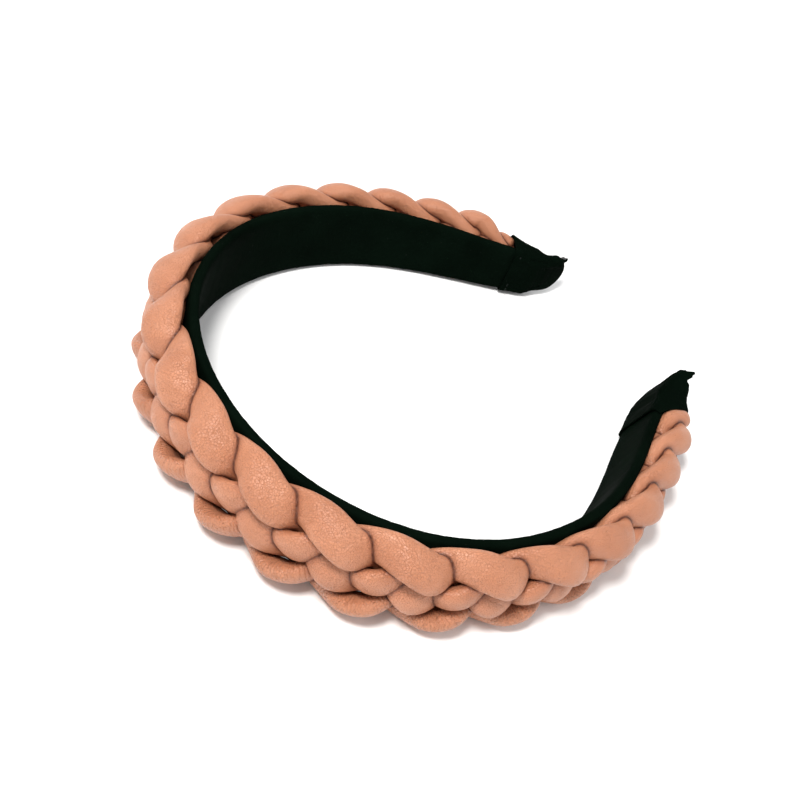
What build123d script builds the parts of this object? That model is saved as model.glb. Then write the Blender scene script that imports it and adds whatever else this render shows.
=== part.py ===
from build123d import *
import os
from math import asin, cos, pi, sin, tau

os.makedirs("parts", exist_ok=True)

# Braided headband lying on its side: the C lies flat, its width stands along Z.
# The crown points to -X, the open mouth between the tips to +X. Millimetres.

# ---- springy band, seen along Z: one half of the inner face, tip to crown
HALF_INNER_WIDTH = 62.0      # half the widest space inside the C
CROWN_DEPTH = 60.4           # widest place to the crown
LEG_DEPTH = 86.7             # widest place to the tips
TIP_HALF_GAP = 28.9          # half the mouth
TIP_FLARE = 0.268            # outward turn of the tips, radians
HANDLES = (0.546, 0.593, 0.523, 0.278)   # how full each quarter of the curve is

CROWN_WIDTH, TIP_WIDTH = 28.0, 11.5      # band width along Z
TAPER = 1.9                              # how late the band starts to taper
CLOTH = 0.5
CORE_THICKNESS = 1.7
BAND_THICKNESS = CORE_THICKNESS + 2 * CLOTH
TIP_MARGIN = 1.5                         # the core stops this far inside its cloth
REST_LEAN = 3.01                         # degrees, from the crown down to the tips

# ---- five-strand flat braid
STRANDS = 5
HALF_STEPS = 42              # two per scallop along an edge
CYCLE = 2 * STRANDS          # half steps for a strand to come back to the same edge
PHASE = 0.88                 # where the first strand starts in its cycle
BRAID_END = 169.0            # arc length from the crown to each end of the braid
END_CROWDING = 0.08          # the weave is tighter at the ends
BRAID_HALF_CROWN, BRAID_HALF_END = 16.6, 8.2
STRAND_WIDTH_CROWN, STRAND_WIDTH_END = 8.2, 4.4
LAYER_CROWN, LAYER_END = 4.7, 3.9        # one layer of the two-layer weave
EDGE_ROUNDING = 0.85         # of half the strand's thickness
SQUASH = 0.8                 # solid strand thickness as a share of a layer
TURN_ROUNDING = 0.94
LEATHER = 0.7
FILL_GAP = 0.02

SECTIONS_PER_STEP = 4
CAP_REACH = 0.3
BAND_STEPS = 48
WRAP_STEPS = 12

# ---- end wraps
WRAP_CLOTH = 0.8
WRAP_GAP = 0.05
WRAP_START = BRAID_END + 0.3
SEAM_INSET = 1.5
STITCH_LENGTH, STITCH_PITCH, STITCH_DIA = 1.1, 1.9, 0.45


def half_curve(side):
    h1, h2, h3, h4 = HANDLES
    crown = Bezier((-CROWN_DEPTH, 0), (-CROWN_DEPTH, side * h1 * HALF_INNER_WIDTH),
                   (-h2 * CROWN_DEPTH, side * HALF_INNER_WIDTH), (0, side * HALF_INNER_WIDTH))
    back = h4 * LEG_DEPTH
    leg = Bezier((0, side * HALF_INNER_WIDTH), (h3 * LEG_DEPTH, side * HALF_INNER_WIDTH),
                 (LEG_DEPTH - back * cos(TIP_FLARE), side * (TIP_HALF_GAP - back * sin(TIP_FLARE))),
                 (LEG_DEPTH, side * TIP_HALF_GAP))
    return crown, leg


CROWN_ARC, LEG_ARC = half_curve(1)
HALF_LENGTH = CROWN_ARC.length + LEG_ARC.length


def band_frame(s):
    """Point on the inner face, direction of growing s, outward normal; s runs from the
    far tip (negative) over the crown (0) to the near tip (positive)."""
    arc = min(abs(s), HALF_LENGTH)
    beyond = abs(s) - arc                       # straight on past the tips
    if arc < CROWN_ARC.length:
        edge, share = CROWN_ARC, arc / CROWN_ARC.length
    else:
        edge, share = LEG_ARC, (arc - CROWN_ARC.length) / LEG_ARC.length
    t = edge % share
    p = edge @ share + t * beyond
    if s < 0:                                   # the far half lies at +Y
        return Vector(p.X, p.Y), Vector(-t.X, -t.Y), Vector(-t.Y, t.X)
    return Vector(p.X, -p.Y), Vector(t.X, -t.Y), Vector(-t.Y, -t.X)


def band_width(s):
    return TIP_WIDTH + (CROWN_WIDTH - TIP_WIDTH) * (1 - min(abs(s) / HALF_LENGTH, 1) ** TAPER)


def blend(s, crown, end):
    return end + (crown - end) * (1 - min(abs(s) / BRAID_END, 1) ** 1.5)


def cross_plane(s, out, z=0.0):
    p, t, n = band_frame(s)
    return Plane(origin=p + n * out + Vector(0, 0, z), x_dir=n, z_dir=t)


def strip(s0, s1, inner, outer, inset, rounding, steps):
    """A strip along the band between two offsets from the inner face."""
    faces = []
    for i in range(steps + 1):
        s = s0 + (s1 - s0) * i / steps
        tall = band_width(s) - 2 * inset
        faces.append(cross_plane(s, (inner + outer) / 2)
                     * RectangleRounded(outer - inner, tall, rounding))
    return loft(faces)


def weave_height(theta):
    """+1 over, -1 under: over on the first crossing after each edge, then alternating."""
    theta %= CYCLE
    half = CYCLE / 2
    if theta > CYCLE - 1 or theta < 1:
        return sin(pi / 2 * (theta if theta < 1 else theta - CYCLE))
    if theta < half - 1:
        return -cos(pi * theta)
    if theta < half + 1:
        return sin(pi / 2 * (theta - half))
    return cos(pi * theta)


def strand_point(number, step):
    x = 2 * step / HALF_STEPS - 1
    s = BRAID_END * ((1 + END_CROWDING) * x - END_CROWDING * x ** 3)
    theta = step + 2 * number + PHASE
    wide, layer = blend(s, STRAND_WIDTH_CROWN, STRAND_WIDTH_END), blend(s, LAYER_CROWN, LAYER_END)
    reach = blend(s, BRAID_HALF_CROWN, BRAID_HALF_END) - wide / 2
    z = reach * asin(TURN_ROUNDING * cos(tau * theta / CYCLE)) / asin(TURN_ROUNDING)
    out = BAND_THICKNESS + layer * (1 + weave_height(theta) / 2)
    p, _, n = band_frame(s)
    return p + n * out + Vector(0, 0, z), n, wide, layer * SQUASH


def strand_sections(number, inset):
    count = HALF_STEPS * SECTIONS_PER_STEP
    faces = []
    for i in range(count + 1):
        step = i / SECTIONS_PER_STEP
        c, n, wide, thick = strand_point(number, step)
        ahead = strand_point(number, min(step + 0.05, HALF_STEPS))[0]
        behind = strand_point(number, max(step - 0.05, 0))[0]
        along = (ahead - behind).normalized()
        across = n.cross(along).normalized()
        faces.append(Plane(origin=c, x_dir=across, z_dir=along) * RectangleRounded(
            wide - 2 * inset, thick - 2 * inset, EDGE_ROUNDING * (thick / 2 - inset)))
    return faces


def tube_wall(rings):
    """Side faces of the loft through the rings, without its two end caps."""
    ends = [rings[0].center(), rings[-1].center()]
    return [face for face in loft(rings).faces()
            if min((face.center() - end).length for end in ends) > CAP_REACH]


def strand(number):
    """Leather tube, open at its ends, and the wadding that fills it."""
    outer, inner, core = (strand_sections(number, inset) for inset in (0, LEATHER, LEATHER + FILL_GAP))
    rims = [(outer[k] - inner[k]).face() for k in (0, -1)]
    skin = Solid(Shell(tube_wall(outer) + tube_wall(inner) + rims))
    wadding = Solid(Shell(tube_wall(core) + [core[k].face() for k in (0, -1)]))
    return skin, wadding


def end_wrap(side):
    """Cloth pouch pulled over one tip of the sleeve, closed past the tip."""
    clear = WRAP_GAP + WRAP_CLOTH
    outside = strip(side * WRAP_START, side * (HALF_LENGTH + clear), -clear,
                    BAND_THICKNESS + clear, -clear, 1.2, WRAP_STEPS)
    inside = strip(side * (WRAP_START - 1), side * (HALF_LENGTH + WRAP_GAP), -WRAP_GAP,
                   BAND_THICKNESS + WRAP_GAP, -WRAP_GAP, 0.6, WRAP_STEPS)
    return outside - inside


def seam_stitches(side):
    """Short stitches in a row across the inner face, just past the mouth of the end wrap."""
    s = side * (WRAP_START + SEAM_INSET)
    out = -WRAP_GAP - WRAP_CLOTH - STITCH_DIA / 2
    count = int((band_width(s) - STITCH_LENGTH) / STITCH_PITCH) + 1
    p, _, n = band_frame(s)
    row = []
    for i in range(count):
        z = (i - (count - 1) / 2) * STITCH_PITCH - STITCH_LENGTH / 2
        row.append(Plane(origin=p + n * out + Vector(0, 0, z)) * Cylinder(
            STITCH_DIA / 2, STITCH_LENGTH, align=(Align.CENTER, Align.CENTER, Align.MIN)))
    return row


core = strip(TIP_MARGIN - HALF_LENGTH, HALF_LENGTH - TIP_MARGIN, CLOTH, CLOTH + CORE_THICKNESS,
             CLOTH, 0.6, BAND_STEPS)
sleeve = strip(-HALF_LENGTH, HALF_LENGTH, 0, BAND_THICKNESS, 0, 0.9, BAND_STEPS) - core

nodes = {"core_band": [core], "band_sleeve": [sleeve]}
for side, name in ((-1, "far"), (1, "near")):
    nodes[name + "_end_wrap"] = [end_wrap(side)]
    nodes[name + "_seam_stitches"] = seam_stitches(side)
for number in range(STRANDS):
    skin, wadding = strand(number)
    nodes[f"strand_{number + 1}_skin"] = [skin]
    nodes[f"strand_{number + 1}_filling"] = [wadding]

# the crown is the widest place, so on its side the band leans down towards the tips;
# origin at the middle of the footprint, on the floor
lean = Rot(0, REST_LEAN, 0)
nodes = {name: [lean * solid for solid in solids] for name, solids in nodes.items()}
box = Compound([solid for solids in nodes.values() for part in solids for solid in part.solids()]).bounding_box()
shift = Pos(-(box.min.X + box.max.X) / 2, -(box.min.Y + box.max.Y) / 2, -box.min.Z)
for name, solids in nodes.items():
    placed = [shift * solid for solid in solids]
    export_step(placed[0] if len(placed) == 1 else Compound(children=placed), f"parts/{name}.step")
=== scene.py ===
from math import cos, pi, radians, sin, tau

import bpy
import numpy as np
from mathutils import Matrix, Vector, noise
from mathutils.bvhtree import BVHTree

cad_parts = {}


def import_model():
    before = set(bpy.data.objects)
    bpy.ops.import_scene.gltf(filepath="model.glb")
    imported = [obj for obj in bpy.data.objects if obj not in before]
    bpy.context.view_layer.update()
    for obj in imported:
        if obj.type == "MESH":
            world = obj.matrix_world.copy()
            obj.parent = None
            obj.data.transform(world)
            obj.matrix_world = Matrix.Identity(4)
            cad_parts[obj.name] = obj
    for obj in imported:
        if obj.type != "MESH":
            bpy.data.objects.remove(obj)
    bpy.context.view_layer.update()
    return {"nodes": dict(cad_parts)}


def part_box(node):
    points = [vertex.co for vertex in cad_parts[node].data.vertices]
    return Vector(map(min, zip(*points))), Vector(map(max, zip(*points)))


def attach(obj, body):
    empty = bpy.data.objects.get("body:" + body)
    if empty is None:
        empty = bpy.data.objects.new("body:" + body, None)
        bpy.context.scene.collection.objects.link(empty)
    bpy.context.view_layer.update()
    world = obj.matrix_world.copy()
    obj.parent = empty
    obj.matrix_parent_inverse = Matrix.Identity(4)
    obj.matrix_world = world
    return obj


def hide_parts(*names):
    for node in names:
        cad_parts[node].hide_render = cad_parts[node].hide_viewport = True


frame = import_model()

MM = 0.001

# ---- springy band, in millimetres in its own flat frame (crown at -X, mouth at +X)
HALF_INNER_WIDTH, CROWN_DEPTH, LEG_DEPTH, TIP_HALF_GAP = 62.0, 60.4, 86.7, 28.9
TIP_FLARE = 0.268
HANDLES = (0.546, 0.593, 0.523, 0.278)    # of the two Bezier curves of one half
CROWN_WIDTH, TIP_WIDTH, TAPER = 28.0, 11.5, 1.9
BAND_THICKNESS = 2.7
RUN_ON = 12.0                             # how far the curve is known past each tip
REST_LEAN = radians(3.01)
TWIST, TWIST_END = 0.40, 0.92             # radians the near leg's top edge leans out, and where it stops
TWIST_PIVOT = -0.5                        # in half widths from the band's middle
SETTLE = 0.0012                           # metres above the floor in which anything lower flattens

# ---- braid
STRANDS, HALF_STEPS, PHASE = 5, 42, 0.40
CYCLE = 2 * STRANDS                       # steps from top edge to bottom edge and back
FIRST_STEP, LAST_STEP = -0.2, 42.0
BRAID_END, END_CROWDING = 172.5, 0.08
DRIFT = (-1.8, 1.2, 7.9)                  # how the strands' places drift along the braid
NEAR_DRIFT, NEAR_DRIFT_FROM = 3.4, 0.35
TOP_CROWN, TOP_END = 17.0, 11.0           # the braid's reach above and below the band's middle
LOW_CROWN, LOW_END = 15.8, 8.2
FAR_TUCK_FROM, FAR_TUCK_OVER = 157, 11    # where the strands shrink to go under the wraps
NEAR_TUCK_FROM, NEAR_TUCK_OVER, NEAR_TUCK = 172, 10, 0.8
TUCK_WIDTH, TUCK_LAYER, TUCK_REACH = 0.2, 0.35, 0.42
NEAR_NARROWING, NARROWING_FROM, NARROWING_OVER = 0.26, 158, 20
BOW, BOW_OUT = 0.9, 0.6                   # rise of a strand between the edges, and its share outwards

# ---- one strand
WIDE_CROWN, WIDE_END = 11.0, 8.8
LAYER_CROWN, LAYER_END = 4.8, 5.9
BASE_LAYERS, OVER_LAYERS = 0.90, 0.54     # height of the middle of the weave and its swing, in layers
WIDE_SHARE, WIDE_PUFF = 0.83, 0.19        # width when it goes under, and how much more when over
THICK_SHARE, THICK_PUFF = 0.94, 0.20
ROUNDNESS = 0.97                          # 1 is an ellipse, less is boxier
EDGE_INSET = 0.36                         # centre line inside the braid's edge, in strand widths
EDGE_ROLL, SHINGLE = radians(46), radians(24)
RISE_EARLY = 0.34
TURN_ROUNDING = 0.955
RINGS_PER_STEP, AROUND = 16, 48
FILLING_RINGS_PER_STEP, FILLING_AROUND = 4, 16
LEATHER, FILLING_GAP = 0.8, 0.5
LUMPS, GROOVE, GROOVE_WIDTH = 0.16, 0.45, 0.16
UNDERSIDE = 1.5 * pi                      # where round the tube its seam runs
# how far from a contact with a neighbouring strand the painted crevice shade reaches, in millimetres
PAINTED_SHADE_REACH = 1.6
UNROLLED = 0.025                          # metres round one tube, for the texture

# ---- cloth
CLOTH = 0.45
SLEEVE_INSET = 1.5
SLEEVE_SECTION = (0.28, 0.42, 0.42)       # powers across, outside, inside: long flats, round edges
WRAP_SECTION = (0.27, 0.5, 0.35)
WRAP_START = 168.9
NEAR_LENGTHENING, FAR_SHORTENING = 1.8, -6.0
WRAP_ROOM, WRAP_WIDENING = 0.35, 0.3      # the cloth's half width past the band's, and its growth
INNER_LAYERS, OUTER_LAYERS, OUTER_GROWTH = 0.85, 0.25, 0.4
MOUTH_RISE, NEAR_END_RISE = 7.6, 5.0      # how high the cloth stands over the braid's end and past it
MOUTH_WIDENING, MOUTH_CUT_BACK = 1.6, 8.0
SHUT_FROM, SHUT_THINNING, SHUT_WAVE = 0.55, 0.9, 1.2
NEAR_END_PULL = 6.5                       # the near end leans inwards by this
BIG_FOLDS, SMALL_FOLDS = 0.50, 0.22
TIP_SLANT, NEAR_SLANT = 3.2, 0.35         # slant of the frayed ends
SPIKE, SPIKE_FROM, FRAY = 3.0, 0.955, 1.3


def bezier(points, t):
    p = np.array(points, float)
    t = t[:, None]
    return (1 - t) ** 3 * p[0] + 3 * (1 - t) ** 2 * t * p[1] + 3 * (1 - t) * t ** 2 * p[2] + t ** 3 * p[3]


def band_curve():
    h1, h2, h3, h4 = HANDLES
    t = np.linspace(0, 1, 600)
    crown = bezier([(-CROWN_DEPTH, 0), (-CROWN_DEPTH, h1 * HALF_INNER_WIDTH),
                    (-h2 * CROWN_DEPTH, HALF_INNER_WIDTH), (0, HALF_INNER_WIDTH)], t)
    back = h4 * LEG_DEPTH
    leg = bezier([(0, HALF_INNER_WIDTH), (h3 * LEG_DEPTH, HALF_INNER_WIDTH),
                  (LEG_DEPTH - back * cos(TIP_FLARE), TIP_HALF_GAP - back * sin(TIP_FLARE)),
                  (LEG_DEPTH, TIP_HALF_GAP)], t)
    half = np.vstack([crown, leg[1:]])
    flare = np.array([[cos(TIP_FLARE), sin(TIP_FLARE)]])
    half = np.vstack([half, half[-1] + flare * np.linspace(0.1, RUN_ON, 30)[:, None]])
    far = half[::-1]
    near = half[1:] * [1, -1]
    whole = np.vstack([far, near])
    arc = np.concatenate([[0], np.cumsum(np.hypot(*np.diff(whole, axis=0).T))])
    return whole, arc - arc[len(far) - 1]


CURVE, ARC = band_curve()
HALF_LENGTH = ARC[-1] - RUN_ON
TANGENT = np.gradient(CURVE, ARC, axis=0)
TANGENT /= np.linalg.norm(TANGENT, axis=1)[:, None]


def band_frame(s):
    """Inner-face point, direction of growing s and outward normal, for an array of arc lengths;
    s runs from the far tip (negative) over the crown to the near tip."""
    s = np.atleast_1d(s)
    p = np.stack([np.interp(s, ARC, CURVE[:, k]) for k in (0, 1)] + [np.zeros(len(s))], -1)
    t = np.stack([np.interp(s, ARC, TANGENT[:, k]) for k in (0, 1)] + [np.zeros(len(s))], -1)
    t /= np.linalg.norm(t, axis=1)[:, None]
    return p, t, np.stack([t[:, 1], -t[:, 0], np.zeros(len(s))], -1)


def band_width(s):
    """Full width at an arc length, widest at the crown."""
    return TIP_WIDTH + (CROWN_WIDTH - TIP_WIDTH) * (1 - np.clip(np.abs(s) / HALF_LENGTH, 0, 1) ** TAPER)


def blend(s, crown, end, power=1.5):
    """From the crown's value to the one at the braid's ends."""
    return end + (crown - end) * (1 - np.clip(np.abs(s) / BRAID_END, 0, 1) ** power)


def twisted(points, s):
    """Turn rows of points about a line along the band, each row by the twist at its arc length."""
    p, t, n = band_frame(s)
    angle = TWIST * np.clip(np.asarray(s) / HALF_LENGTH, 0, TWIST_END) ** 2
    middle = p + n * BAND_THICKNESS / 2
    middle[:, 2] = TWIST_PIVOT * band_width(s) / 2
    d = points - middle[:, None, :]
    along, out = (d * t[:, None, :]).sum(2), (d * n[:, None, :]).sum(2)
    ca, sa = np.cos(angle)[:, None], np.sin(angle)[:, None]
    out, up = out * ca + d[:, :, 2] * sa, d[:, :, 2] * ca - out * sa
    turned = (middle[:, None, :] + along[:, :, None] * t[:, None, :]
              + out[:, :, None] * n[:, None, :])
    turned[:, :, 2] += up
    return turned


def arc_length_at(points):
    """Arc length of the curve's nearest point to each point, some at a time to save memory."""
    parts = np.array_split(points, 1 + len(points) // 400)
    return np.concatenate([ARC[((CURVE[None] - part[:, None, :2]) ** 2).sum(2).argmin(1)]
                           for part in parts])


def twisted_copy(node, name, material, slot, narrow=1.0):
    """The CAD node's own mesh turned with the twist, its height scaled by narrow."""
    source = frame["nodes"][node]
    flat = TO_CAD.inverted() @ source.matrix_world
    points = np.array([flat @ v.co for v in source.data.vertices])
    s = arc_length_at(points)
    points[:, 2] *= narrow
    faces = [tuple(poly.vertices) for poly in source.data.polygons]
    verts = twisted(points[:, None, :], s)[:, 0]
    obj = new_mesh(name, verts, faces, material, slot, smooth=False)
    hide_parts(node)


# ---- from the band's flat frame to the CAD frame: lean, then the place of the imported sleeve
LEAN = Matrix.Rotation(REST_LEAN, 4, "Y")


def sleeve_corner():
    """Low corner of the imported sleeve's box, in the leaning frame before it is placed."""
    s = np.linspace(-HALF_LENGTH, HALF_LENGTH, 2000)
    p, _, n = band_frame(s)
    half = band_width(s)[:, None] / 2 * np.array([[0, 0, 1.0]])
    pts = np.vstack([p + n * out + side * half for out in (0, BAND_THICKNESS) for side in (-1, 1)])
    return (pts @ np.array(LEAN.to_3x3()).T).min(axis=0)


low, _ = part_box("band_sleeve")
TO_CAD = Matrix.Translation(Vector(low) - Vector(sleeve_corner()) * MM) @ LEAN @ Matrix.Scale(MM, 4)
TO_CAD_NP = np.array(TO_CAD)


def to_cad(points):
    """Flat-frame millimetres to the CAD frame's metres."""
    return points @ TO_CAD_NP[:3, :3].T + TO_CAD_NP[:3, 3]


def new_mesh(name, verts, faces, material, slot, uv=None, smooth=True):
    """A piece from points in the flat frame; what would go below the floor is pressed flat on it."""
    placed = to_cad(np.asarray(verts, float))
    sinking = placed[:, 2] < SETTLE
    placed[sinking, 2] = SETTLE * np.exp((placed[sinking, 2] - SETTLE) / SETTLE)
    mesh = bpy.data.meshes.new(name)
    mesh.from_pydata([tuple(v) for v in placed], [], faces)
    mesh.update()
    if uv is not None:
        layer = mesh.uv_layers.new(name="along")
        layer.data.foreach_set("uv", np.asarray(uv, float).ravel())
    for poly in mesh.polygons:
        poly.use_smooth = smooth
    mesh.materials.append(material)
    obj = bpy.data.objects.new(name, mesh)
    bpy.context.collection.objects.link(obj)
    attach(obj, "root")
    return obj


def grid_faces(rows, around):
    """Faces of an open tube, each with the (row, column) of its corners; columns run past the seam."""
    faces, cells = [], []
    for i in range(rows - 1):
        for j in range(around):
            k = (j + 1) % around
            faces.append((i * around + j, (i + 1) * around + j, (i + 1) * around + k, i * around + k))
            cells.append(((i, j), (i + 1, j), (i + 1, j + 1), (i, j + 1)))
    return faces, cells


def section(around, across_power, outer_power, inner_power):
    """Cosine and sine round a closed section, and the same two squared off by powers below 1."""
    phi = np.arange(around) * tau / around
    ca, sa = np.cos(phi), np.sin(phi)
    return (ca, sa, np.sign(ca) * np.abs(ca) ** across_power,
            np.sign(sa) * np.abs(sa) ** np.where(sa < 0, inner_power, outer_power))


# ------------------------------------------------------------------ materials
class Nodes:
    """Short hand for building a material's node tree."""

    def __init__(self, name):
        self.material = bpy.data.materials.new(name)
        self.material.use_nodes = True
        self.tree = self.material.node_tree
        self.shader = self.tree.nodes["Principled BSDF"]

    def add(self, kind, inputs=None, **props):
        node = self.tree.nodes.new(kind)
        for key, value in props.items():
            setattr(node, key, value)
        for key, value in (inputs or {}).items():
            self.put(node.inputs[key], value)
        return node

    def put(self, socket, value):
        if isinstance(value, bpy.types.NodeSocket):
            self.tree.links.new(value, socket)
        else:
            socket.default_value = value

    def set(self, **values):
        for key, value in values.items():
            self.put(self.shader.inputs[key.replace("_", " ")], value)

    def ramp(self, fac, *stops):
        node = self.add("ShaderNodeValToRGB", {"Fac": fac})
        points = node.color_ramp.elements
        while len(points) < len(stops):
            points.new(0.5)
        for point, (at, colour) in zip(points, stops):
            point.position, point.color = at, (*colour, 1) if len(colour) == 3 else colour
        return node.outputs["Color"]

    def range(self, value, low, high, to_low, to_high):
        return self.add("ShaderNodeMapRange", {"Value": value, "From Min": low, "From Max": high,
                                               "To Min": to_low, "To Max": to_high}).outputs["Result"]

    def math(self, operation, a, b=0.0):
        return self.add("ShaderNodeMath", {0: a, 1: b}, operation=operation).outputs[0]

    def mix(self, share, first, second):
        return self.add("ShaderNodeMixRGB", {"Fac": share, "Color1": first, "Color2": second}
                        ).outputs["Color"]

    def bump(self, height, strength, distance, normal=None):
        inputs = {"Height": height, "Strength": strength, "Distance": distance}
        if normal is not None:
            inputs["Normal"] = normal
        return self.add("ShaderNodeBump", inputs).outputs["Normal"]


def leather():
    """Tan faux leather: pores, creases, gathers where pinch is high, and painted shade darkening towards
    the contacts with neighbouring strands.
    """
    n = Nodes("tan_soft_leather")
    place = n.add("ShaderNodeTexCoord").outputs["Object"]
    cells = n.add("ShaderNodeTexVoronoi", {"Vector": place, "Scale": 1500.0, "Randomness": 0.9},
                  feature="DISTANCE_TO_EDGE").outputs["Distance"]
    fine = n.add("ShaderNodeTexNoise", {"Vector": place, "Scale": 2600.0, "Detail": 3.0}).outputs["Fac"]
    patch = n.add("ShaderNodeTexNoise", {"Vector": place, "Scale": 90.0, "Detail": 4.0}).outputs["Fac"]
    creases = n.add("ShaderNodeTexNoise", {"Vector": place, "Scale": 330.0, "Detail": 5.0,
                                           "Roughness": 0.62, "Distortion": 1.2}).outputs["Fac"]
    pinch = n.add("ShaderNodeAttribute", attribute_name="pinch").outputs["Fac"]
    # painted crevice shade: a per-point amount, 1 where strands touch, read to darken the colour
    crevice_shade = n.add("ShaderNodeAttribute", attribute_name="crevice_shade").outputs["Fac"]
    uv = n.add("ShaderNodeUVMap", uv_map="along").outputs["UV"]
    wrinkle = n.add("ShaderNodeTexWave", {"Vector": uv, "Scale": 330.0, "Distortion": 6.0,
                                          "Detail": 2.0, "Detail Scale": 1.4}, wave_type="BANDS",
                    bands_direction="X").outputs["Fac"]
    base = n.ramp(patch, (0.25, (0.445, 0.174, 0.088)), (0.5, (0.505, 0.205, 0.107)),
                  (0.78, (0.565, 0.243, 0.134)))
    grain = n.range(cells, 0.0, 0.1, 0.0, 1.0)
    pores = n.math("MULTIPLY", n.math("SUBTRACT", 1.0, grain), 0.16)
    darker = n.mix(pores, base, (0.40, 0.14, 0.07, 1))
    # painted shade: a wide reddish darkening towards each contact with a neighbouring strand, and a thin
    # dark painted crevice line in it
    shade = n.mix(n.range(crevice_shade, 0.0, 0.75, 0.0, 0.6), darker, (0.27, 0.080, 0.034, 1))
    shade = n.mix(n.range(crevice_shade, 0.58, 0.95, 0.0, 0.95), shade, (0.055, 0.010, 0.004, 1))
    rough = n.range(n.math("ADD", n.math("MULTIPLY", creases, 0.6), n.math("MULTIPLY", fine, 0.4)),
                    0.3, 0.7, 0.31, 0.46)
    grain_bump = n.bump(n.math("ADD", grain, n.math("MULTIPLY", fine, 0.5)), 0.7, 0.00025)
    crease_bump = n.bump(creases, 0.6, 0.0009, grain_bump)
    wrinkle_bump = n.bump(n.math("MULTIPLY", wrinkle, pinch), 0.55, 0.0005, crease_bump)
    n.set(Base_Color=shade, Roughness=rough, Normal=wrinkle_bump, Specular_IOR_Level=0.5)
    return n.material


def wadding():
    """Off-white fibre."""
    n = Nodes("pale_wadding")
    place = n.add("ShaderNodeTexCoord").outputs["Object"]
    fluff = n.add("ShaderNodeTexNoise", {"Vector": place, "Scale": 1200.0, "Detail": 6.0}).outputs["Fac"]
    n.set(Base_Color=n.ramp(fluff, (0.3, (0.70, 0.68, 0.63)), (0.7, (0.88, 0.87, 0.83))),
          Roughness=n.range(fluff, 0.3, 0.7, 0.85, 0.98), Normal=n.bump(fluff, 0.6, 0.0005))
    return n.material


def black_cloth(name, rib, lift):
    """Dull black satin: a fine weave, faint greenish cast and soft rubs."""
    n = Nodes(name)
    place = n.add("ShaderNodeTexCoord").outputs["Object"]
    uv = n.add("ShaderNodeUVMap", uv_map="along").outputs["UV"]
    stretched = n.add("ShaderNodeMapping", {"Vector": uv, "Scale": (1.0, 3.0, 1.0)}).outputs["Vector"]
    weave = n.add("ShaderNodeTexNoise", {"Vector": stretched, "Scale": rib, "Detail": 3.0}).outputs["Fac"]
    rub = n.add("ShaderNodeTexNoise", {"Vector": place, "Scale": 60.0, "Detail": 6.0, "Roughness": 0.65}
                ).outputs["Fac"]
    lint = n.add("ShaderNodeTexNoise", {"Vector": place, "Scale": 1500.0, "Detail": 2.0}).outputs["Fac"]
    base = n.ramp(rub, (0.3, (0.0010 * lift, 0.0026 * lift, 0.0015 * lift)),
                  (0.7, (0.0020 * lift, 0.0052 * lift, 0.0030 * lift)))
    dusty = n.mix(n.range(lint, 0.74, 0.80, 0.0, 0.35), base, (0.05, 0.055, 0.05, 1))
    n.set(Base_Color=dusty, Roughness=n.range(rub, 0.3, 0.7, 0.66, 0.82),
          Normal=n.bump(n.math("ADD", weave, n.math("MULTIPLY", lint, 0.5)), 0.35, 0.0002),
          Specular_IOR_Level=0.004)
    return n.material


def plastic_core():
    """Dark grey plastic with a faint speckle."""
    n = Nodes("springy_core_plastic")
    place = n.add("ShaderNodeTexCoord").outputs["Object"]
    speck = n.add("ShaderNodeTexNoise", {"Vector": place, "Scale": 700.0, "Detail": 4.0}).outputs["Fac"]
    n.set(Base_Color=n.ramp(speck, (0.3, (0.030, 0.030, 0.030)), (0.7, (0.055, 0.055, 0.055))),
          Roughness=n.range(speck, 0.3, 0.7, 0.42, 0.58), Normal=n.bump(speck, 0.2, 0.0002))
    return n.material


def thread():
    """Dull black sewing thread."""
    n = Nodes("black_thread")
    place = n.add("ShaderNodeTexCoord").outputs["Object"]
    twist = n.add("ShaderNodeTexWave", {"Vector": place, "Scale": 900.0, "Distortion": 1.0},
                  wave_type="BANDS", bands_direction="DIAGONAL").outputs["Fac"]
    n.set(Base_Color=n.ramp(twist, (0.2, (0.003, 0.005, 0.004)), (0.8, (0.012, 0.016, 0.014))),
          Roughness=n.range(twist, 0.0, 1.0, 0.6, 0.8), Normal=n.bump(twist, 0.5, 0.0002),
          Specular_IOR_Level=0.08)
    return n.material


LEATHER_MAT, WADDING_MAT = leather(), wadding()
SLEEVE_MAT = black_cloth("black_satin", 900.0, 1.0)
WRAP_MAT = black_cloth("black_wrap_cloth", 620.0, 0.8)


# ------------------------------------------------------------------ braid
def weave_height(theta):
    """+1 over, -1 under: over on the first crossing after each edge, then alternating."""
    theta = np.mod(theta, CYCLE)
    half = CYCLE / 2
    out = np.where(theta < half, -np.cos(pi * theta), np.cos(pi * theta))
    near_top = np.where(theta > half, theta - CYCLE, theta)
    out = np.where(np.abs(near_top) < 1, np.sin(pi / 2 * near_top), out)
    near_bottom = theta - half
    return np.where(np.abs(near_bottom) < 1, np.sin(pi / 2 * near_bottom), out)


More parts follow.
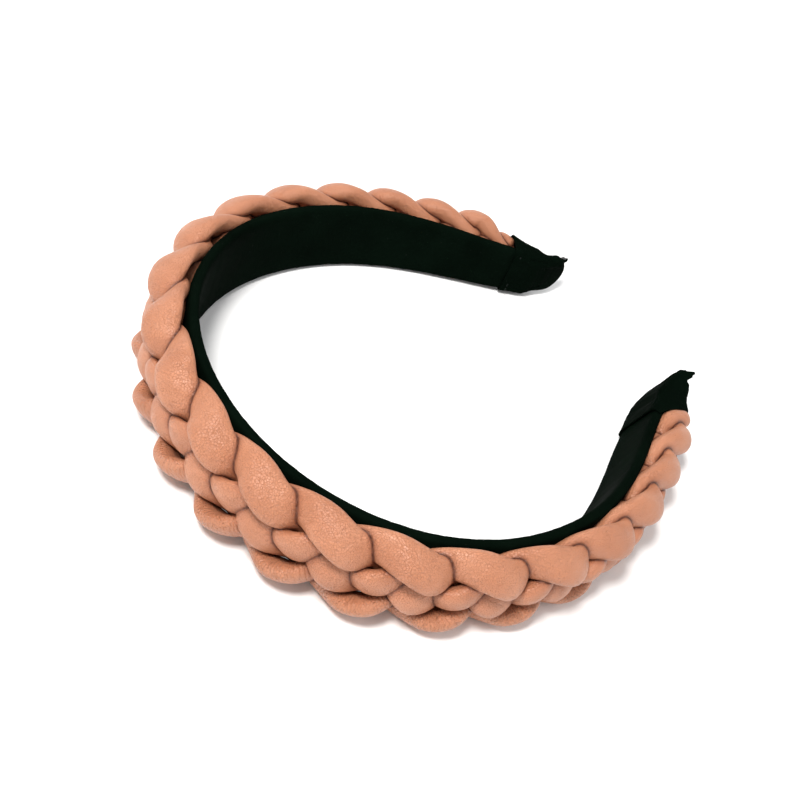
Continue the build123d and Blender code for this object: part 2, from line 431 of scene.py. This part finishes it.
def strand_path(number, step):
    """Centre line of a strand and what its sections need: normals, arc lengths, place in the weave."""
    x = 2 * step / HALF_STEPS - 1
    s = BRAID_END * ((1 + END_CROWDING) * x - END_CROWDING * x ** 3)
    s = (s + DRIFT[0] + DRIFT[1] * x + DRIFT[2] * x ** 2
         + NEAR_DRIFT * np.clip(x - NEAR_DRIFT_FROM, 0, 1))
    theta = step + 2 * number + PHASE
    over = weave_height(theta + RISE_EARLY)
    edge = np.cos(tau * theta / CYCLE)
    # both ends flatten and narrow into their wraps
    tuck = np.clip((-s - FAR_TUCK_FROM) / FAR_TUCK_OVER, 0, 1)
    tuck += NEAR_TUCK * np.clip((s - NEAR_TUCK_FROM) / NEAR_TUCK_OVER, 0, 1)
    narrowing = NEAR_NARROWING * np.clip((s - NARROWING_FROM) / NARROWING_OVER, 0, 1)
    wide = blend(s, WIDE_CROWN, WIDE_END) * (1 - narrowing - TUCK_WIDTH * tuck)
    layer = blend(s, LAYER_CROWN, LAYER_END) * (1 - TUCK_LAYER * tuck)
    half = np.where(edge > 0, blend(s, TOP_CROWN, TOP_END), blend(s, LOW_CROWN, LOW_END))
    reach = half - wide * EDGE_INSET
    reach = reach * (1 - TUCK_REACH * tuck)
    # the braid is bowed: its edges sit lower and closer to the band than its middle
    bow = BOW * (1 - edge ** 2)
    z = reach * np.arcsin(TURN_ROUNDING * edge) / np.arcsin(TURN_ROUNDING)
    z += bow
    out = BAND_THICKNESS + layer * (BASE_LAYERS + OVER_LAYERS * over) + bow * BOW_OUT
    p, _, n = band_frame(s)
    c = p + n * out[:, None]
    c[:, 2] += z
    return c, n, s, over, edge, wide, layer


def strand_rings(number, inset=0.0, per_step=RINGS_PER_STEP, around=AROUND):
    """Closed sections along a strand, and facts about each that its texture needs."""
    step = np.linspace(FIRST_STEP, LAST_STEP, round((LAST_STEP - FIRST_STEP) * per_step) + 1)
    c, n, s, over, edge, wide, layer = strand_path(number, step)
    along = np.gradient(c, axis=0)
    along /= np.linalg.norm(along, axis=1)[:, None]
    across = np.cross(n, along)
    across /= np.linalg.norm(across, axis=1)[:, None]
    up = np.cross(along, across)
    # at an edge the strand rolls over, so its flat side leans outwards
    flat_z = across[:, 2]
    roll = EDGE_ROLL * np.sign(edge) * np.clip(np.abs(edge) * 2.2 - 1.2, 0, 1)
    roll = roll * np.sign(-flat_z + 1e-9) * np.abs(flat_z) ** 0.5
    # and the side towards the far tip rides up on the strand before
    tangent = np.cross(np.array([[0, 0, 1.0]]), n)
    roll = roll - SHINGLE * np.clip((across * tangent).sum(1) * 1.6, -1, 1)
    ca, sa = np.cos(roll)[:, None], np.sin(roll)[:, None]
    across, up = across * ca + up * sa, up * ca - across * sa
    puff = 0.5 + 0.5 * over
    w = wide * (WIDE_SHARE + WIDE_PUFF * puff) / 2 - inset
    t = layer * (THICK_SHARE + THICK_PUFF * puff) / 2 - inset
    _, _, a, b = section(around, ROUNDNESS, ROUNDNESS, ROUNDNESS)
    ring = (c[:, None, :] + across[:, None, :] * (w[:, None] * a)[:, :, None]
            + up[:, None, :] * (t[:, None] * b)[:, :, None])
    ring = twisted(ring, s)
    length = np.concatenate([[0], np.cumsum(np.linalg.norm(np.diff(c, axis=0), axis=1))])
    return ring, dict(edge=edge, length=length, across=across, phi=np.arange(around) * tau / around)


def tube_mesh(ring):
    """Vertices and faces of a tube through the rings, closed with domed ends."""
    rows, around = ring.shape[:2]
    verts = ring.reshape(-1, 3)
    faces = []
    for i in range(rows - 1):
        for j in range(around):
            k = (j + 1) % around
            faces.append((i * around + j, i * around + k, (i + 1) * around + k, (i + 1) * around + j))
    extra = []
    for row, step_out in ((0, -1), (rows - 1, 1)):
        centre = ring[row].mean(axis=0)
        ahead = centre - ring[row - step_out].mean(axis=0)
        ahead /= np.linalg.norm(ahead)
        loop = [row * around + j for j in range(around)]
        for shrink, push in ((0.82, 0.7), (0.45, 1.1)):
            start = len(verts) + len(extra)
            extra += [centre + (p - centre) * shrink + ahead * push for p in ring[row]]
            new = [start + j for j in range(around)]
            for j in range(around):
                k = (j + 1) % around
                quad = (loop[j], loop[k], new[k], new[j])
                faces.append(quad if step_out > 0 else quad[::-1])
            loop = new
        tip = len(verts) + len(extra)
        extra.append(centre + ahead * 1.25)
        for j in range(around):
            k = (j + 1) % around
            tri = (loop[j], loop[k], tip)
            faces.append(tri if step_out > 0 else tri[::-1])
    return np.vstack([verts, np.array(extra)]), faces


def lumpy_rings(number):
    """The strand's skin: shallow lumps from the filling and a groove along its underside seam."""
    ring, facts = strand_rings(number)
    out = ring - ring.mean(axis=1)[:, None, :]
    out /= np.linalg.norm(out, axis=2)[:, :, None]
    phi, length = facts["phi"], facts["length"]
    lift = np.array([[LUMPS * noise.noise(Vector((where * 0.16, cos(a) * 0.9 + 7.3 * number,
                                                  sin(a) * 0.9)))
                      for a in phi] for where in length])
    lift -= np.exp(-((phi[None, :] - UNDERSIDE) / GROOVE_WIDTH) ** 2) * GROOVE
    return ring + out * lift[:, :, None], facts


def painted_shade_strength(verts, others):
    """Strength of the painted crevice shade: 1 where a point touches a neighbouring strand, 0 from
    PAINTED_SHADE_REACH away.
    """
    crevice_shade = np.zeros(len(verts))
    for i, v in enumerate(verts):
        point = Vector(v)
        _, _, _, near = others.find_nearest(point, PAINTED_SHADE_REACH)
        if near is not None:
            crevice_shade[i] = 1 - near / PAINTED_SHADE_REACH
    return crevice_shade


def strand_uv(faces, length, rows, around):
    """Metres along and round the tube for each face corner; the domed ends repeat their last ring."""
    skin = rows * around
    uv = []
    for face in faces:
        at_seam = any(v % around == around - 1 for v in face if v < skin)
        for v in face:
            i, j = divmod(v, around)
            if v >= skin:
                i, j = (0 if v < skin + 2 * around + 1 else rows - 1), (v - skin) % around
            column = j + (around if j == 0 and at_seam else 0)
            uv.append((length[i] * MM, column / around * UNROLLED))
    return uv


def strand(number, ring, facts, others):
    """One leather tube with the two attributes its material reads, and its filling."""
    rows, around = ring.shape[:2]
    verts, faces = tube_mesh(ring)
    phi, edge = facts["phi"], facts["edge"]
    uv = strand_uv(faces, facts["length"], rows, around)
    obj = new_mesh(f"braid_strand_{number + 1}", verts, faces, LEATHER_MAT, "leather", uv)
    # pinch: gathers on the inner side of each edge turn, next to none along the top
    bend = np.clip(np.abs(edge) * 2.2 - 1.1, 0, 1) * np.where(edge < 0, 1.0, 0.12)
    facing = -np.sign(edge) * np.sign(facts["across"][:, 2])
    inner = facing[:, None] * np.cos(phi)[None, :]
    pinch = np.zeros(len(verts))
    pinch[:rows * around] = (bend[:, None] * np.clip(0.15 + 0.85 * inner, 0, 1)).ravel()
    # painted crevice shade, stored on each point for the material to darken with
    crevice_shade = painted_shade_strength(verts, others)
    for name, values in (("pinch", pinch), ("crevice_shade", crevice_shade)):
        layer = obj.data.attributes.new(name, "FLOAT", "POINT")
        layer.data.foreach_set("value", values)
    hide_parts(f"strand_{number + 1}_skin")
    inside, _ = strand_rings(number, LEATHER + FILLING_GAP, FILLING_RINGS_PER_STEP, FILLING_AROUND)
    fill = new_mesh(f"braid_wadding_{number + 1}", *tube_mesh(inside), WADDING_MAT, "wadding")
    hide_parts(f"strand_{number + 1}_filling")


def braid():
    """All strands, each with its painted crevice shade measured against the other four."""
    skins = [lumpy_rings(number) for number in range(STRANDS)]
    meshes = [tube_mesh(ring) for ring, _ in skins]
    for number, (ring, facts) in enumerate(skins):
        verts, faces = [], []
        for other, (v, f) in enumerate(meshes):
            if other != number:
                faces += [tuple(k + len(verts) for k in face) for face in f]
                verts += v.tolist()
        strand(number, ring, facts, BVHTree.FromPolygons(verts, faces))


braid()


# ------------------------------------------------------------------ sleeve
def thicken(obj):
    """Give a sheet the cloth's thickness, inwards."""
    solid = obj.modifiers.new("cloth", "SOLIDIFY")
    solid.thickness, solid.offset = CLOTH * MM, -1.0


def sleeve():
    """The cloth pulled round the springy core: rounded edges, slight puckers along them."""
    count, around = 720, 44
    s = np.linspace(-HALF_LENGTH + SLEEVE_INSET, HALF_LENGTH - SLEEVE_INSET, count)
    p, _, n = band_frame(s)
    from_tip = np.clip((HALF_LENGTH - 1.4 - np.abs(s)) / 5.0, 0, 1)
    half_wide = band_width(s) / 2 * np.sqrt(1 - (1 - from_tip) ** 2)
    half_thick = BAND_THICKNESS / 2
    ca, sa, a, b = section(around, *SLEEVE_SECTION)
    verts = np.zeros((count, around, 3))
    for i in range(count):
        for j in range(around):
            ripple = 0.10 * noise.noise(Vector((s[i] * 0.35, ca[j] * 2.0, sa[j] * 2.0)))
            ripple += 0.05 * noise.noise(Vector((s[i] * 1.3, ca[j] * 5.0, 4.0 + sa[j])))
            out = half_thick + (half_thick + ripple * 0.6) * b[j]
            verts[i, j] = p[i] + n[i] * out
            verts[i, j, 2] += (half_wide[i] + ripple) * a[j]
    faces, cells = grid_faces(count, around)
    uv = [(s[row] * MM, col / around * 0.06) for corners in cells for row, col in corners]
    verts = twisted(verts, s).reshape(-1, 3)
    obj = new_mesh("cloth_sleeve", verts, faces, SLEEVE_MAT, "black_cloth", uv)
    thicken(obj)
    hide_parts("band_sleeve")


sleeve()


# ------------------------------------------------------------------ end wraps
def end_wrap(name, side, seed):
    """Cloth folded round one tip: snug at its mouth, squared off and frayed past the tip."""
    count, around, near = 56, 96, side > 0
    stop = HALF_LENGTH + (NEAR_LENGTHENING if near else FAR_SHORTENING)
    u = np.linspace(0, 1, count)
    s = side * (WRAP_START + (stop - WRAP_START) * u)
    p, t, n = band_frame(s)
    ca, sa, a, b = section(around, *WRAP_SECTION)
    width = band_width(s) / 2 + WRAP_ROOM + WRAP_WIDENING * u
    slant = TIP_SLANT * (NEAR_SLANT if near else 1.0)
    mouth_power, pinched = (0.7, 0.12) if near else (1.5, 0.35)
    verts = np.zeros((count, around, 3))
    for i in range(count):
        mouth = 1 - u[i]
        shut = max(0.0, (u[i] - SHUT_FROM) / (1 - SHUT_FROM))
        for j in range(around):
            outside = max(0.0, sa[j])
            layers = INNER_LAYERS if sa[j] < 0 else OUTER_LAYERS + OUTER_GROWTH * u[i]
            bulge = outside * (MOUTH_RISE * mouth ** mouth_power)
            thick = BAND_THICKNESS / 2 + layers + bulge - SHUT_THINNING * shut
            thick += NEAR_END_RISE * outside * u[i] * near
            fold = BIG_FOLDS * noise.noise(Vector((u[i] * 4.0 + seed, ca[j] * 2.2, sa[j] * 2.2 + seed)))
            fold += SMALL_FOLDS * noise.noise(Vector((u[i] * 12.0, ca[j] * 6.0 + seed, sa[j] * 4.0)))
            fold *= 0.35 + 0.65 * min(1.0, u[i] * 4) if sa[j] < 0.2 else 1.0
            verts[i, j] = p[i] + n[i] * (BAND_THICKNESS / 2 + (thick + fold) * b[j])
            # the end is cut on a slant and frays: long at the top corner, short at the bottom one
            fray = FRAY * noise.noise(Vector((ca[j] * 5.0, sa[j] * 2.0, seed * 3.1)))
            cut = slant * (ca[j] - 0.35) + fray
            cut += SPIKE * max(0.0, (ca[j] - SPIKE_FROM) / (1 - SPIKE_FROM)) ** 2
            verts[i, j] += side * t[i] * cut * u[i] ** 3
            if near:
                # its mouth is cut back so the braid's end shows, and its end is pulled inwards
                verts[i, j] += t[i] * MOUTH_CUT_BACK * min(1.0, 1.6 * outside) * mouth
                verts[i, j] -= n[i] * NEAR_END_PULL * u[i] ** 2
            verts[i, j] += n[i] * SHUT_WAVE * noise.noise(Vector((ca[j] * 1.7, seed, 2.0))) * shut
            reach = width[i] + fold * 0.7 + MOUTH_WIDENING * mouth ** 2 * outside
            verts[i, j, 2] += reach * a[j] * (1 - pinched * shut)
    faces, cells = grid_faces(count, around)
    if not near:
        faces, cells = [face[::-1] for face in faces], [corners[::-1] for corners in cells]
    uv = [(row / count * 0.024, col / around * 0.036) for corners in cells for row, col in corners]
    verts = twisted(verts, s).reshape(-1, 3)
    obj = new_mesh(name, verts, faces, WRAP_MAT, "black_cloth", uv)
    thicken(obj)
    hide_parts(name.replace("cloth_wrap", "end_wrap"))


end_wrap("far_cloth_wrap", -1, 3.7)
end_wrap("near_cloth_wrap", 1, 9.2)
THREAD_MAT = thread()
twisted_copy("core_band", "springy_core", plastic_core(), "core")
twisted_copy("near_seam_stitches", "near_stitches", THREAD_MAT, "thread", narrow=0.8)
frame["nodes"]["far_seam_stitches"].material_slots[0].material = THREAD_MAT


# ------------------------------------------------------------------ stage, light, camera
def stage():
    """A pale floor that curves up into a wall behind the band."""
    size, back, bend, rise = 3.0, 1.1, 0.5, 1.6
    mesh = bpy.data.meshes.new("sweep")
    profile = [(-size, 0.0), (back, 0.0)]
    profile += [(back + bend * sin(a), bend - bend * cos(a)) for a in np.linspace(0, pi / 2, 16)[1:]]
    profile += [(back + bend, rise)]
    verts = [(x, y, z) for y, z in profile for x in (-size, size)]
    faces = [(2 * i, 2 * i + 1, 2 * i + 3, 2 * i + 2) for i in range(len(profile) - 1)]
    mesh.from_pydata(verts, [], faces)
    for poly in mesh.polygons:
        poly.use_smooth = True
    n = Nodes("studio_white")
    place = n.add("ShaderNodeTexCoord").outputs["Object"]
    haze = n.add("ShaderNodeTexNoise", {"Vector": place, "Scale": 3.0, "Detail": 2.0}).outputs["Fac"]
    n.set(Base_Color=n.ramp(haze, (0.2, (0.95, 0.95, 0.95)), (0.8, (0.98, 0.98, 0.98))), Roughness=0.9,
          Specular_IOR_Level=0.1)
    mesh.materials.append(n.material)
    obj = bpy.data.objects.new("sweep", mesh)
    bpy.context.collection.objects.link(obj)


def area_light(name, at, aim, size, watts, colour=(1, 1, 1)):
    data = bpy.data.lights.new(name, "AREA")
    data.shape, data.size, data.energy, data.color = "DISK", size, watts, colour
    obj = bpy.data.objects.new(name, data)
    obj.location = at
    obj.rotation_euler = (Vector(aim) - Vector(at)).to_track_quat("-Z", "Y").to_euler()
    bpy.context.collection.objects.link(obj)


def world():
    w = bpy.data.worlds.new("studio")
    w.use_nodes = True
    w.node_tree.nodes["Background"].inputs["Color"].default_value = (1, 1, 1, 1)
    w.node_tree.nodes["Background"].inputs["Strength"].default_value = 0.54
    bpy.context.scene.world = w


# the camera as fitted to the band's flat frame: direction, roll, distance and aim in millimetres,
# and the lens as a share of the sensor's width
CAM_AZ, CAM_EL, CAM_ROLL = radians(-50.8), radians(42.4), radians(24.9)
CAM_DISTANCE, CAM_AIM, CAM_FOCAL = 376.9, (-3.78, -4.62, 0.0), 1.68025
SENSOR_WIDTH = 36.0


def camera():
    back = Vector((sin(CAM_AZ) * cos(CAM_EL), -cos(CAM_AZ) * cos(CAM_EL), sin(CAM_EL)))
    right = Vector((0, 0, 1)).cross(back).normalized()
    up = back.cross(right)
    x = right * cos(CAM_ROLL) + up * sin(CAM_ROLL)
    y = up * cos(CAM_ROLL) - right * sin(CAM_ROLL)
    place = Vector(CAM_AIM) + back * CAM_DISTANCE
    turn = Matrix((x, y, back)).transposed().to_4x4()
    data = bpy.data.cameras.new("camera")
    data.sensor_width, data.lens = SENSOR_WIDTH, SENSOR_WIDTH * CAM_FOCAL
    data.clip_start, data.clip_end = 0.01, 20
    obj = bpy.data.objects.new("camera", data)
    rigid = Matrix.Translation(TO_CAD.translation) @ LEAN
    obj.matrix_world = rigid @ Matrix.Translation(place * MM) @ turn
    bpy.context.collection.objects.link(obj)
    bpy.context.scene.camera = obj


stage()
world()
camera()
area_light("key", (-0.45, -0.10, 0.95), (0, 0, 0), 0.26, 12.0, (1.0, 0.985, 0.965))
area_light("fill", (0.6, -0.8, 0.8), (0, 0, 0), 0.9, 2.6)
area_light("rim", (0.1, 0.9, 0.7), (0, 0, 0), 0.8, 3.0, (0.97, 0.985, 1.0))
bpy.context.scene.view_settings.view_transform = "Standard"
